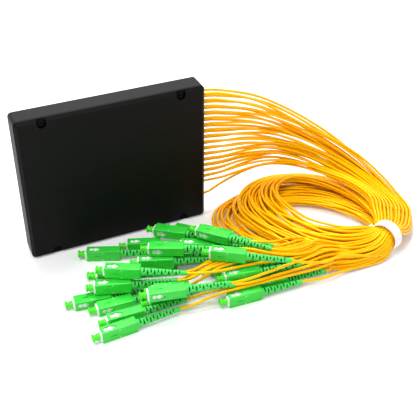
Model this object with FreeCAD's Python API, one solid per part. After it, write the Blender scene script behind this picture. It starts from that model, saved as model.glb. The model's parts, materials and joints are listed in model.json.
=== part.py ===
"""Box-type 1 x 32 fibre splitter with 33 connectorised cables.

The box stands on one long edge.  X runs along it, Y from its front to its back,
Z up.  The origin is the middle of the edge that it stands on.  All sizes are in
millimetres.  The cables leave the right-hand end, fall into a coil of two turns
that a strap ties, and end in connectors that lie in a heap in front of the box.
"""
import FreeCAD
import Part
import math
import os

from FreeCAD import Vector

# ---------------------------------------------------------------- box
BOX_LENGTH = 140.0
BOX_DEPTH = 18.0
BOX_HEIGHT = 115.0
WALL = 2.2
BACK_WALL = 2.0
EDGE_ROUND = 3.0
COVER_THICKNESS = 4.0
COVER_CHAMFER = 2.2
COVER_FACE_ROUND = 1.4
COVER_LIP_DEPTH = 1.6
COVER_LIP_WALL = 1.5
LIP_CLEARANCE = 0.15
SEAM = 0.05

SCREW_INSET_X = 19.0
SCREW_INSET_Z = 3.6
RECESS_RADIUS = 3.5
RECESS_DEPTH = 2.2
SCREW_HEAD_RADIUS = 2.6
SCREW_HEAD_HEIGHT = 1.0
SCREW_SHANK_RADIUS = 1.2
SCREW_HOLE_RADIUS = 1.4
SCREW_LENGTH = 8.0
SLOT_WIDTH = 0.7
SLOT_DEPTH = 0.6
BOSS_SIZE = 5.6

# ---------------------------------------------------------------- cable outlet
CABLE_RADIUS = 1.0
ROWS = 16
ROW_PITCH = 5.1
COLUMN_OFFSET = 3.0
LOWEST_ROW_Z = 29.3
INPUT_Z = 15.0
HOLE_CLEARANCE = 0.12
BLOCK_LENGTH = 6.0
BLOCK_WIDTH = 11.4
BLOCK_MARGIN = 4.2
CABLE_IN_BLOCK = 4.0

# ---------------------------------------------------------------- inside the box
CHIP_LENGTH = 60.0
CHIP_WIDTH = 7.0
CHIP_THICKNESS = 4.0
CHIP_END_GAP = 1.8
CHIP_Z = 66.0
CHIP_BOOT_LENGTH = 8.0
CLIP_LENGTH = 6.0
CLIP_WALL = 0.8
CLIP_SPREAD = 19.0
CLIP_FLOOR = 0.5
RIBBON_TRAY_THICKNESS = 1.2
LOOP_RADIUS = 24.0
LOOP_WIRE_RADIUS = 1.2
LOOP_INSET = 38.0
LOOP_Z = 32.0
FOAM_THICKNESS = 3.0
FOAM_RADIUS = 22.0
FIT_GAP = 0.1

# ---------------------------------------------------------------- connector
GRIP_LENGTH = 25.0
GRIP_WIDTH = 9.0
GRIP_HEIGHT = 7.4
GRIP_CHAMFER = 0.7
GRIP_BORE_WIDTH = 7.2
GRIP_BORE_HEIGHT = 5.6
GRIP_REAR_WALL = 5.6
WINDOW_START = 3.0
WINDOW_LENGTH = 6.8
WINDOW_HEIGHT = 4.2
NOTCH_START = 4.6
NOTCH_LENGTH = 4.2
NOTCH_WIDTH = 0.9
NOTCH_DEPTH = 0.4
BODY_CLEARANCE = 0.12
BODY_FRONT = -1.2
BODY_LENGTH = 20.4
FERRULE_RADIUS = 1.25
FERRULE_TIP = -4.4
FERRULE_LENGTH = 15.0
FERRULE_CLEARANCE = 0.05
FERRULE_POCKET = 14.0
BOOT_LENGTH = 32.0
BOOT_RADIUS = 3.0
BOOT_END_RADIUS = 1.7
BOOT_NECK_LENGTH = 5.3
BOOT_CLEARANCE = 0.15
CAP_LENGTH = 5.3
CAP_RADIUS = 2.9
CAP_NECK_RADIUS = 2.1
CAP_KNOB_LENGTH = 1.5
CAP_NECK_LENGTH = 1.2
CAP_BORE_RADIUS = 1.4
CAP_GAP = 0.05

# ---------------------------------------------------------------- connectors' places
# x and y of the middle of the grip's front edge, height of the grip's underside,
# heading, pitch and roll.  A roll of 0 lies flat, one of 90 lies on its side.
CONNECTOR_PLACES = {
    "input": (-2, -27, 0, -20, 0, 90),
    "row16_front": (39, -21, 0, -44, 0, 0),
    "row16_back": (34, -50, 0, -24, 0, 0),
    "row15_front": (20.5, -27.5, 9.4, -40, 3, 0),
    "row15_back": (-33, -24, 0, -22, 0, 90),
    "row14_front": (53, -40.5, 7.6, -44, 0, 0),
    "row14_back": (2, -50.3, 0, -20, 0, 0),
    "row13_front": (31.5, -52, 7.6, -26, 0, 90),
    "row13_back": (-34, -49, 0, -20, 0, 0),
    "row12_front": (-4, -58, 7.6, -20, 0, 90),
    "row12_back": (43, -78, 0, -6, 0, 90),
    "row11_front": (11, -52.5, 7.6, -24, 0, 0),
    "row11_back": (-37, -63, 0, -16, 0, 90),
    "row10_front": (-36, -61, 9.2, -20, 0, 0),
    "row10_back": (54.5, -87.7, 0, -4, 0, 90),
    "row9_front": (-57, -72, 0, -7, 0, 0),
    "row9_back": (-9.5, -93, 0, -1, 0, 90),
    "row8_front": (47, -84.2, 9.2, -8, 0, 90),
    "row8_back": (-41, -71, 7.6, -17, 0, 90),
    "row7_front": (45, -52, 18.2, -46, 0, 0),
    "row7_back": (-44, -84, 0, -3, 0, 0),
    "row6_front": (5, -56, 17, -24, 0, 0),
    "row6_back": (57, -98, 0, -4, 0, 90),
    "row5_front": (46, -92.2, 9.2, -8, 0, 90),
    "row5_back": (-32, -67, 17, -27, 0, 90),
    "row4_front": (-13, -102, 17, -12, 0, 0),
    "row4_back": (45, -100.2, 9.2, -8, 0, 90),
    "row3_front": (-6, -92, 9.2, -17, 0, 0),
    "row3_back": (63, -106.2, 0, -7, 0, 90),
    "row2_front": (-42, -99.2, 0, -1, 0, 90),
    "row2_back": (-50, -110, 0, 3, 0, 90),
    "row1_front": (41, -84, 21.5, -33, 0, 90),
    "row1_back": (41, -113, 0, -3, 0, 90),
}

# ---------------------------------------------------------------- cable routes
# Points after the end of each connector's boot.  The last one lies just inside
# the coil, where the cable joins the turns.
TAIL_POINTS = {
    "input": [(62, -54.5, 3.8), (76, -65.2, 3.4), (87.5, -70, 3.5), (98.8, -71.5, 3.4)],
    "row16_front": [(96.5, -68.5, 3.7)],
    "row16_back": [(102.8, -74.2, 3.7)],
    "row15_front": [(75.6, -71.7, 16.6), (88, -78.8, 16.6), (98, -81, 16), (107.9, -79, 15.3)],
    "row15_back": [(26, -51.6, 4.2), (33, -56.9, 3.8), (45, -62, 3.6), (57, -67, 3.6),
                   (71, -72, 3.6), (86, -77, 3.5), (95.7, -78, 3.5), (105.2, -76.5, 3.5)],
    "row14_front": [(99, -83.2, 13.9), (106, -85, 14.6), (113, -83.5, 14.4)],
    "row14_back": [(68, -74.6, 3.7), (84, -79, 3.8), (96, -80.5, 4), (107.9, -79, 3.8)],
    "row13_front": [(90.9, -83.4, 11.6), (101.3, -84.4, 11.2), (111.2, -82, 11)],
    "row13_back": [(31, -71.5, 2.6), (45, -72.6, 1.8), (58, -74, 1.4), (71, -75.8, 1.3),
                   (84, -79, 1.2), (97.5, -81, 1.5), (110.2, -81, 1.6)],
    "row12_front": [(62, -80, 12.2), (79, -83.2, 12.3), (96, -86.2, 12), (105.5, -86.5, 12),
                    (114.3, -84.7, 12)],
    "row12_back": [(113.6, -84, 4.5)],
    "row11_front": [(73, -79.5, 10.2), (87, -81.2, 8.2), (99, -82, 7.5), (110.9, -81.6, 7.5)],
    "row11_back": [(26, -81, 8), (35, -83, 16.5), (46, -84, 20.2), (58, -85.2, 20),
                   (70, -86.9, 19.9), (81, -88.6, 18.6), (97, -90.7, 16.8), (107.5, -90.5, 16),
                   (117.8, -88.8, 15.8)],
    "row10_front": [(27, -83.9, 14), (38, -86, 19), (53, -87.1, 20), (69, -89.1, 19.9),
                    (84, -91.4, 18.1), (100, -93.3, 16.8), (110, -93, 16), (119.3, -90.9, 15.8)],
    "row10_back": [(118.7, -90.1, 4.5)],
    "row9_front": [(11.6, -82, 4.6), (23, -86.3, 9.5), (33, -88.6, 17), (44, -89.2, 20.2),
                   (56, -90.1, 20), (69, -91.6, 19.9), (83, -93.5, 18), (100, -95.6, 16.8),
                   (110.5, -95.5, 16), (120.7, -92.9, 15.8)],
    "row9_back": [(55.5, -92.7, 4.5), (68, -93.7, 4.5), (80, -94.5, 4.5), (100, -97, 4.5),
                  (111, -96.5, 4.5), (121.3, -93.7, 4.5)],
    "row8_front": [(119.8, -91.7, 12.5)],
    "row8_back": [(24, -90.8, 13.5), (34, -91.3, 18.5), (45, -91.8, 20.2), (57, -92.4, 20),
                  (69, -93.8, 19.9), (83, -95.7, 17.9), (100, -97.9, 16.8), (111.5, -97.5, 16),
                  (122.1, -95, 15.8)],
    "row7_front": [(95, -98.4, 20.8), (107, -99, 20), (114.7, -97.4, 19.5), (121.3, -93.8, 19.3)],
    "row7_back": [(22, -88.4, 4.8), (32, -92.4, 12.5), (41, -94.1, 19.4), (54, -94.6, 20.1),
                  (68, -96.1, 19.8), (83, -98, 17.9), (101, -100.2, 17), (112.5, -100, 16.5),
                  (123.4, -97.1, 16)],
    "row6_front": [(70, -86.6, 22.3), (84, -97.6, 20.6), (98, -102.8, 18.9), (111.8, -104, 18),
                   (124.5, -99.4, 17.6)],
    "row6_back": [(123.6, -97.6, 4.5)],
    "row5_front": [(124.4, -99.4, 13)],
    "row5_back": [(29, -97.6, 21.6), (41, -99.2, 20.6), (55, -99.6, 20), (70, -101.2, 19.8),
                  (86, -102.8, 17.7), (103, -103.8, 16.4), (114.5, -103.5, 16),
                  (125.5, -101.7, 15.8)],
    "row4_front": [(55, -114.4, 20.2), (69, -112, 18.6), (85, -109.5, 17.6), (103, -107.2, 16.6),
                   (115, -105.5, 16), (126.5, -104, 16)],
    "row4_back": [(127.3, -105.8, 13.2)],
    "row3_front": [(61, -111.5, 13), (77, -110.9, 13), (97, -111, 12.6), (113, -111, 12.5),
                   (128.8, -110.5, 12.3)],
    "row3_back": [(128.6, -109.5, 4.5)],
    "row2_front": [(26, -100.4, 5.5), (37, -103.6, 7.6), (48, -107, 9.8), (62, -108.7, 10.5),
                   (78, -109.5, 10.6), (98, -109.8, 10), (113.5, -109, 9.5), (128, -107.1, 9.6)],
    "row2_back": [(17, -108.2, 5.5), (28, -108.8, 8.2), (40, -109.8, 10.5), (54, -111.2, 10.9),
                  (69, -111.9, 10.8), (85, -112.5, 10.6), (102, -112.9, 9.6), (116, -112.5, 9),
                  (129, -111, 9)],
    "row1_front": [(98, -119.3, 24.4), (109, -119.6, 20.5), (119.5, -118, 18), (129.8, -114.4, 17.5)],
    "row1_back": [(108.2, -117.9, 4), (119.6, -118.6, 3.6), (130.4, -116.8, 3.6)],
}

# The fan of cables falls between two guide lines, from the outlet to the coil.  On
# the way 16 rows of two gather into 11 lanes of three: first front to back, which
# turns to top and bottom, then row to lane.
FAN_TOP = [(90, -2, 103), (114, -3, 95), (137, -5, 80.5), (159, -10.5, 65), (179.5, -19, 50.5),
           (197, -32, 36.5), (209, -47.5, 23), (214, -63, 14), (216, -80, 9)]
FAN_BOTTOM = [(88, 4, 26), (107, 4, 29), (125, 1, 31.5), (142, -4.5, 31), (157, -14, 28.5),
              (167.5, -26, 25.5), (176, -38, 24.2), (183, -52, 22.5), (187, -66.5, 20)]
LAYERED = [0.0, 0.3, 0.7, 1.0, 1.0, 1.0, 1.0, 1.0, 1.0]
GATHERED = [0.0, 0.15, 0.4, 0.7, 0.95, 1.0, 1.0, 1.0, 1.0]
INPUT_DROP = [9.5, 7.0, 4.8, 3.0, 1.0, 0.0, 0.0, 0.0, 0.0]
LAST_LANE = 10
LAYER_PITCH = 2.2
# Lane and layer of the six cables of three rows, lowest row first, front before back.
GROUP_SEATS = [(0, 1), (0, -1), (0, 0), (1, 0), (1, 1), (1, -1)]
FIRST_SEATS = [(0, 0), (0, 1), (0, -1)]
BEND_SHARE = 0.45

# ---------------------------------------------------------------- coil and strap
# Inner and outer point of each section, and its height at the hole, in the
# middle and at the outside.
COIL_SECTIONS = [
    ((165.5, -91.5), (167, -119), 18, 19, 14),
    ((149.5, -86), (147, -122.5), 18, 20, 15),
    ((138.5, -76.5), (129, -121), 18, 21, 21),
    ((132.5, -69), (125, -109), 18, 21, 21),
    ((128.5, -62), (119.5, -97), 18, 21, 21),
    ((126.5, -55.5), (111, -87), 17, 20, 20),
    ((125.5, -50), (101, -77.5), 17, 19, 18),
    ((125, -45), (91, -67.5), 17, 18, 14),
    ((126, -40), (79, -57.5), 17, 17, 12),
    ((128.5, -36), (68.5, -43), 17, 17, 11),
    ((131.5, -33.5), (67, -25), 16, 18, 11),
    ((135, -31.5), (81, -6.5), 15, 19, 13),
    ((139, -30.5), (107, 2), 14, 19, 15),
    ((146, -32), (137, 4.5), 14, 19, 16),
    ((155, -37), (159, -2), 15, 19, 16),
    ((165, -44.5), (178, -18.5), 16, 19, 15),
    ((173, -54.5), (197, -38), 17, 20, 13),
    ((178, -66), (211, -58), 19, 21, 12),
    ((181, -77), (217, -80), 20, 21, 11),
    ((180, -86.5), (207, -99), 18, 21, 15),
]
TIE_CENTRE = (177.5, -103.0)
TIE_HEADING = 203.0
TIE_INNER_RADIUS = 10.6
TIE_WALL = 1.0
TIE_WIDTH = 8.0
TIE_TAB_LENGTH = 5.0
TIE_TAB_THICKNESS = 1.6
COIL_NECK_RADIUS = 10.3
COIL_NECK_HALF_LENGTH = 5.0


def box_at(x, y, z):
    """A box from (low, high) pairs along X, Y and Z."""
    corner = Vector(x[0], y[0], z[0])
    return Part.makeBox(x[1] - x[0], y[1] - y[0], z[1] - z[0], corner)


def cylinder_y(radius, x, z, y_low, y_high):
    """A cylinder along +Y."""
    return Part.makeCylinder(radius, y_high - y_low, Vector(x, y_low, z), Vector(0, 1, 0))


def rounded_plate(x, y, z, radius):
    """A box whose four edges along Y are rounded."""
    solid = box_at(x, y, z)
    edges = [e for e in solid.Edges if abs(e.tangentAt(e.FirstParameter).y) > 0.9]
    return solid.makeFillet(radius, edges)


def rounded_outline(y, inset, radius):
    """The box's outline at a depth, drawn in by an inset, with rounded corners."""
    left = -BOX_LENGTH / 2 + inset
    right = BOX_LENGTH / 2 - inset
    low = inset
    high = BOX_HEIGHT - inset
    corners = [(right - radius, low + radius, -90), (right - radius, high - radius, 0),
               (left + radius, high - radius, 90), (left + radius, low + radius, 180)]
    arcs = []
    for x, z, start in corners:
        stops = [math.radians(start + turn) for turn in (0, 45, 90)]
        places = [Vector(x + radius * math.cos(a), y, z + radius * math.sin(a)) for a in stops]
        arcs.append(Part.Arc(*places))
    edges = []
    for arc, after in zip(arcs, arcs[1:] + arcs[:1]):
        edges.append(arc.toShape())
        edges.append(Part.LineSegment(arc.EndPoint, after.StartPoint).toShape())
    return Part.Wire(edges)


# ---------------------------------------------------------------- box pieces
HALF_LENGTH = BOX_LENGTH / 2
FRONT = -BOX_DEPTH / 2
BACK = BOX_DEPTH / 2
SEAM_Y = FRONT + COVER_THICKNESS
INSIDE_BACK = BACK - BACK_WALL
RECESS_FLOOR = FRONT + RECESS_DEPTH
BLOCK_TOP_Z = LOWEST_ROW_Z + (ROWS - 1) * ROW_PITCH + BLOCK_MARGIN
BLOCK_BOTTOM_Z = INPUT_Z - BLOCK_MARGIN
CHIP_X = -HALF_LENGTH + WALL + CHIP_END_GAP + CHIP_BOOT_LENGTH + CHIP_LENGTH / 2
LOOP_X = -HALF_LENGTH + LOOP_INSET


def screw_centres():
    """X and Z of the four cover screws."""
    along = HALF_LENGTH - SCREW_INSET_X
    heights = (SCREW_INSET_Z, BOX_HEIGHT - SCREW_INSET_Z)
    return [(x, z) for x in (-along, along) for z in heights]


def base_shell():
    """The deep tray: back wall, side walls, screw bosses and the outlet's window."""
    outer = rounded_plate((-HALF_LENGTH, HALF_LENGTH), (SEAM_Y + SEAM, BACK),
                          (0, BOX_HEIGHT), EDGE_ROUND)
    cavity = box_at((-HALF_LENGTH + WALL, HALF_LENGTH - WALL), (FRONT, INSIDE_BACK),
                    (WALL, BOX_HEIGHT - WALL))
    shell = outer.cut(cavity)
    floor = SEAM_Y + COVER_LIP_DEPTH + LIP_CLEARANCE
    for x, z in screw_centres():
        low = z < BOX_HEIGHT / 2
        z_span = (WALL, WALL + BOSS_SIZE) if low else (BOX_HEIGHT - WALL - BOSS_SIZE, BOX_HEIGHT - WALL)
        boss = box_at((x - BOSS_SIZE / 2, x + BOSS_SIZE / 2), (floor, INSIDE_BACK), z_span)
        shell = shell.fuse(boss)
    for x, z in screw_centres():
        hole_end = RECESS_FLOOR + SCREW_LENGTH + 0.6
        shell = shell.cut(cylinder_y(SCREW_HOLE_RADIUS, x, z, FRONT, hole_end))
    window = box_at((HALF_LENGTH - 2 * WALL, HALF_LENGTH + 1), (SEAM_Y, SEAM_Y + BLOCK_WIDTH),
                    (BLOCK_BOTTOM_Z, BLOCK_TOP_Z))
    return shell.cut(window).removeSplitter()


def cover():
    """The front plate: chamfered rim, locating lip and four recesses open at its edge."""
    face = rounded_outline(FRONT, COVER_CHAMFER, COVER_FACE_ROUND)
    foot = rounded_outline(FRONT + COVER_CHAMFER, 0, EDGE_ROUND)
    rim = Part.makeLoft([face, foot], True, True)
    plate = rounded_plate((-HALF_LENGTH, HALF_LENGTH), (FRONT + COVER_CHAMFER, SEAM_Y),
                          (0, BOX_HEIGHT), EDGE_ROUND)
    plate = plate.fuse(rim)
    gap = WALL + LIP_CLEARANCE
    lip = box_at((-HALF_LENGTH + gap, HALF_LENGTH - gap), (SEAM_Y - 1, SEAM_Y + COVER_LIP_DEPTH),
                 (gap, BOX_HEIGHT - gap))
    inset = gap + COVER_LIP_WALL
    hollow = box_at((-HALF_LENGTH + inset, HALF_LENGTH - inset), (FRONT + WALL, BACK),
                    (inset, BOX_HEIGHT - inset))
    outlet = box_at((HALF_LENGTH - BLOCK_LENGTH - WALL, HALF_LENGTH - gap + 1),
                    (SEAM_Y, BACK), (BLOCK_BOTTOM_Z - 1, BLOCK_TOP_Z + 1))
    plate = plate.fuse(lip).cut(hollow).cut(outlet)
    for x, z in screw_centres():
        low = z < BOX_HEIGHT / 2
        z_span = (gap, z + RECESS_RADIUS + 1) if low else (z - RECESS_RADIUS - 1, BOX_HEIGHT - gap)
        pad = box_at((x - RECESS_RADIUS - 1, x + RECESS_RADIUS + 1), (SEAM_Y - WALL, SEAM_Y + COVER_LIP_DEPTH),
                     z_span)
        plate = plate.fuse(pad)
    for x, z in screw_centres():
        mouth = (-1, z) if z < BOX_HEIGHT / 2 else (z, BOX_HEIGHT + 1)
        notch = box_at((x - RECESS_RADIUS, x + RECESS_RADIUS), (FRONT - 1, RECESS_FLOOR), mouth)
        plate = plate.cut(cylinder_y(RECESS_RADIUS, x, z, FRONT - 1, RECESS_FLOOR)).cut(notch)
        plate = plate.cut(cylinder_y(SCREW_HOLE_RADIUS, x, z, FRONT, BACK))
    return plate.removeSplitter()


def cover_screws():
    """Four slotted pan-head screws, seated on the floors of the recesses."""
    screws = []
    for x, z in screw_centres():
        head_front = RECESS_FLOOR - SCREW_HEAD_HEIGHT
        head = cylinder_y(SCREW_HEAD_RADIUS, x, z, head_front, RECESS_FLOOR)
        rim = [e for e in head.Edges if abs(e.CenterOfMass.y - head_front) < 0.01]
        head = head.makeFillet(0.5, rim)
        shank = cylinder_y(SCREW_SHANK_RADIUS, x, z, RECESS_FLOOR - 0.1, RECESS_FLOOR + SCREW_LENGTH)
        slot = box_at((x - SCREW_HEAD_RADIUS, x + SCREW_HEAD_RADIUS),
                      (head_front - 1, head_front + SLOT_DEPTH),
                      (z - SLOT_WIDTH / 2, z + SLOT_WIDTH / 2))
        screws.append(head.fuse(shank).cut(slot).removeSplitter())
    return Part.makeCompound(screws)


def outlet_holes():
    """Y and Z of every cable hole, the input first, then the rows from below."""
    holes = [(0.0, INPUT_Z)]
    for row in range(ROWS):
        z = LOWEST_ROW_Z + row * ROW_PITCH
        holes.append((-COLUMN_OFFSET, z))
        holes.append((COLUMN_OFFSET, z))
    return holes


def cable_block():
    """The drilled end piece that the cables are glued into."""
    low = SEAM_Y + FIT_GAP
    high = SEAM_Y + BLOCK_WIDTH - FIT_GAP
    block = box_at((HALF_LENGTH - BLOCK_LENGTH, HALF_LENGTH), (low, high),
                   (BLOCK_BOTTOM_Z + FIT_GAP, BLOCK_TOP_Z - FIT_GAP))
    drills = []
    for y, z in outlet_holes():
        start = Vector(HALF_LENGTH - BLOCK_LENGTH - 1, y, z)
        drills.append(Part.makeCylinder(CABLE_RADIUS + HOLE_CLEARANCE, BLOCK_LENGTH + 2, start,
                                        Vector(1, 0, 0)))
    return block.cut(Part.makeCompound(drills))


def chip_span():
    """Y of the chip housing's front and back faces, on its clips."""
    back = INSIDE_BACK - CLIP_FLOOR
    return back - CHIP_THICKNESS, back


def splitter_chip():
    """The square metal tube that holds the planar splitter."""
    front, back = chip_span()
    body = box_at((CHIP_X - CHIP_LENGTH / 2, CHIP_X + CHIP_LENGTH / 2), (front, back),
                  (CHIP_Z - CHIP_WIDTH / 2, CHIP_Z + CHIP_WIDTH / 2))
    edges = [e for e in body.Edges if abs(e.tangentAt(e.FirstParameter).x) > 0.9]
    return body.makeFillet(0.5, edges)


def chip_boot(side):
    """A tapered rubber boot on one end of the chip housing: -1 left, +1 right."""
    front, back = chip_span()
    x = CHIP_X + side * CHIP_LENGTH / 2
    middle = (front + back) / 2
    wires = []
    for step, share in ((0.0, 0.86), (CHIP_BOOT_LENGTH, 0.5)):
        half_y = share * CHIP_THICKNESS / 2
        half_z = share * CHIP_WIDTH / 2
        corners = [Vector(x + side * step, middle + sy * half_y, CHIP_Z + sz * half_z)
                   for sy, sz in ((-1, -1), (1, -1), (1, 1), (-1, 1), (-1, -1))]
        wires.append(Part.makePolygon(corners))
    return Part.makeLoft(wires, True, True)


def chip_clips():
    """Two U-shaped clips, glued to the back wall, that hold the chip housing."""
    front, back = chip_span()
    clips = []
    for side in (-1, 1):
        x = CHIP_X + side * CLIP_SPREAD
        span = (x - CLIP_LENGTH / 2, x + CLIP_LENGTH / 2)
        half = CHIP_WIDTH / 2 + FIT_GAP + CLIP_WALL
        outer = box_at(span, (front, INSIDE_BACK), (CHIP_Z - half, CHIP_Z + half))
        inner = half - CLIP_WALL
        groove = box_at((span[0] - 1, span[1] + 1), (front - 1, back + 0.02),
                        (CHIP_Z - inner, CHIP_Z + inner))
        clips.append(outer.cut(groove))
    return Part.makeCompound(clips)


def ribbon_fan():
    """The flat fan of fibre ribbons between the chip and the cable block."""
    front, back = chip_span()
    middle = (front + back) / 2
    x_start = CHIP_X + CHIP_LENGTH / 2 + CHIP_BOOT_LENGTH
    x_end = HALF_LENGTH - BLOCK_LENGTH
    top = LOWEST_ROW_Z + (ROWS - 1) * ROW_PITCH
    corners = [(x_start, CHIP_Z - 1.5), (x_end, LOWEST_ROW_Z), (x_end, top), (x_start, CHIP_Z + 1.5)]
    points = [Vector(x, middle - RIBBON_TRAY_THICKNESS / 2, z) for x, z in corners]
    face = Part.Face(Part.makePolygon(points + points[:1]))
    return face.extrude(Vector(0, RIBBON_TRAY_THICKNESS, 0))


def foam_pad():
    """A round foam pad on the back wall, inside the loop of input fibre."""
    return cylinder_y(FOAM_RADIUS, LOOP_X, LOOP_Z, INSIDE_BACK - FOAM_THICKNESS, INSIDE_BACK)


def fibre_loop():
    """The spare input fibre, wound round the foam pad."""
    y = INSIDE_BACK - LOOP_WIRE_RADIUS - FIT_GAP
    return Part.makeTorus(LOOP_RADIUS, LOOP_WIRE_RADIUS, Vector(LOOP_X, y, LOOP_Z), Vector(0, 1, 0))


# ---------------------------------------------------------------- connector pieces
def connector_placement(place):
    """The placement that carries a connector drawn along +X to its place."""
    x, y, underside, heading, pitch, roll = place
    turn = math.radians(roll)
    half = abs(GRIP_WIDTH / 2 * math.sin(turn)) + abs(GRIP_HEIGHT / 2 * math.cos(turn))
    rotation = FreeCAD.Rotation(heading, -pitch, roll)
    return FreeCAD.Placement(Vector(x, y, underside + half), rotation)


def cylinder_x(radius, x_low, x_high):
    """A cylinder along +X, on the connector's axis."""
    return Part.makeCylinder(radius, x_high - x_low, Vector(x_low, 0, 0), Vector(1, 0, 0))


def centred_box(x, width, height):
    """A box along X, centred on the connector's axis."""
    return box_at(x, (-width / 2, width / 2), (-height / 2, height / 2))


def grip():
    """The sliding outer housing: chamfered, open in front, with two side windows."""
    shell = centred_box((0, GRIP_LENGTH), GRIP_WIDTH, GRIP_HEIGHT)
    edges = [e for e in shell.Edges if abs(e.tangentAt(e.FirstParameter).x) > 0.9]
    shell = shell.makeChamfer(GRIP_CHAMFER, edges)
    shell = shell.cut(centred_box((-1, GRIP_LENGTH - GRIP_REAR_WALL), GRIP_BORE_WIDTH, GRIP_BORE_HEIGHT))
    shell = shell.cut(cylinder_x(BOOT_RADIUS + BOOT_CLEARANCE, 0, GRIP_LENGTH + 1))
    window_end = WINDOW_START + WINDOW_LENGTH
    shell = shell.cut(centred_box((WINDOW_START, window_end), GRIP_WIDTH + 2, WINDOW_HEIGHT))
    notch_top = GRIP_HEIGHT / 2
    notch = box_at((NOTCH_START, NOTCH_START + NOTCH_LENGTH), (-NOTCH_WIDTH / 2, NOTCH_WIDTH / 2),
                   (notch_top - NOTCH_DEPTH, notch_top + 1))
    return shell.cut(notch)


def inner_body():
    """The white plug frame inside the grip, with the pocket of the ferrule."""
    width = GRIP_BORE_WIDTH - 2 * BODY_CLEARANCE
    height = GRIP_BORE_HEIGHT - 2 * BODY_CLEARANCE
    body = centred_box((BODY_FRONT, BODY_FRONT + BODY_LENGTH), width, height)
    pocket = cylinder_x(FERRULE_RADIUS + FERRULE_CLEARANCE, BODY_FRONT - 1, FERRULE_POCKET)
    return body.cut(pocket)


def ferrule():
    """The ceramic ferrule."""
    return cylinder_x(FERRULE_RADIUS, FERRULE_TIP, FERRULE_TIP + FERRULE_LENGTH)


def revolved(profile):
    """A solid of revolution about the connector's axis, from (x, radius) points."""
    points = [Vector(x, 0, r) for x, r in profile]
    face = Part.Face(Part.makePolygon(points + points[:1]))
    return face.revolve(Vector(0, 0, 0), Vector(1, 0, 0), 360)


def boot():
    """The tapered strain-relief boot, whose neck sits inside the grip."""
    end = GRIP_LENGTH + BOOT_LENGTH
    start = GRIP_LENGTH - BOOT_NECK_LENGTH
    profile = [(start, 0), (start, BOOT_RADIUS), (GRIP_LENGTH, BOOT_RADIUS), (end, BOOT_END_RADIUS), (end, 0)]
    return revolved(profile)


def dust_cap():
    """The round knobbed cap, pushed over the ferrule against the inner body."""
    back = BODY_FRONT - CAP_GAP
    tip = back - CAP_LENGTH
    knob = tip + CAP_KNOB_LENGTH
    neck = knob + CAP_NECK_LENGTH
    pocket = FERRULE_TIP - 0.3
    profile = [(tip, 0), (tip, CAP_RADIUS), (knob, CAP_RADIUS), (knob, CAP_NECK_RADIUS),
               (neck, CAP_NECK_RADIUS), (neck + 0.6, CAP_RADIUS - 0.4), (back, CAP_RADIUS - 0.4),
               (back, CAP_BORE_RADIUS), (pocket, CAP_BORE_RADIUS), (pocket, 0)]
    return revolved(profile)


def placed(solid, place):
    """A copy of a connector piece at its place."""
    moved = solid.copy()
    moved.Placement = connector_placement(place).multiply(moved.Placement)
    return moved


# ---------------------------------------------------------------- cables
def rounded_wire(points):
    """Straight runs joined by tangent arcs, each as large as its two runs allow."""
    edges = []
    radii = []
    start = points[0]
    for before, corner, after in zip(points, points[1:], points[2:]):
        back = (before - corner)
        ahead = (after - corner)
        reach = BEND_SHARE * min(back.Length, ahead.Length)
        back.normalize()
        ahead.normalize()
        turn = math.pi - back.getAngle(ahead)
        radius = reach / math.tan(turn / 2)
        radii.append(radius)
        arc_start = corner + back * reach
        arc_end = corner + ahead * reach
        inward = (back + ahead).normalize()
        centre_distance = radius / math.cos(turn / 2)
        arc_middle = corner + inward * (centre_distance - radius)
        edges.append(Part.LineSegment(start, arc_start).toShape())
        edges.append(Part.Arc(arc_start, arc_middle, arc_end).toShape())
        start = arc_end
    edges.append(Part.LineSegment(start, points[-1]).toShape())
    return Part.Wire(edges), radii


def tube(name, points):
    """A round cable along a route, checked against its section times its length."""
    wire, radii = rounded_wire(points)
    direction = points[1] - points[0]
    profile = Part.Wire(Part.makeCircle(CABLE_RADIUS, points[0], direction))
    if len(points) == 2:
        solid = Part.makeCylinder(CABLE_RADIUS, direction.Length, points[0], direction)
    else:
        solid = wire.makePipeShell([profile], True, False)
    share = solid.Volume / (math.pi * CABLE_RADIUS ** 2 * wire.Length)
    tightest = min(radii) if radii else float("inf")
    print("%-22s length %6.1f  smallest radius %6.1f  volume share %.4f"
          % (name, wire.Length, tightest, share))
    return solid


def blend(low, high, share):
    """The point at a share of the way between two points."""
    return Vector(*low) * (1 - share) + Vector(*high) * share


def fan_seat(index):
    """Lane and layer that one cable takes on its way to the coil."""
    if index < len(FIRST_SEATS):
        return FIRST_SEATS[index]
    group, member = divmod(index - len(FIRST_SEATS), len(GROUP_SEATS))
    lane, layer = GROUP_SEATS[member]
    return 1 + 2 * group + lane, layer


def fan_stations():
    """Low point, width and layer direction of the fan at each pair of guide points."""
    middles = [blend(low, high, 0.5) for low, high in zip(FAN_BOTTOM, FAN_TOP)]
    outlet_middle_z = LOWEST_ROW_Z + (ROWS - 1) * ROW_PITCH / 2
    line = [Vector(HALF_LENGTH, 0, outlet_middle_z)] + middles + [middles[-1]]
    stations = []
    for low, high, before, after in zip(FAN_BOTTOM, FAN_TOP, line, line[2:]):
        width = Vector(*high) - Vector(*low)
        upward = (after - before).cross(width).normalize()
        stations.append((Vector(*low), width, upward))
    return stations


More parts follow.
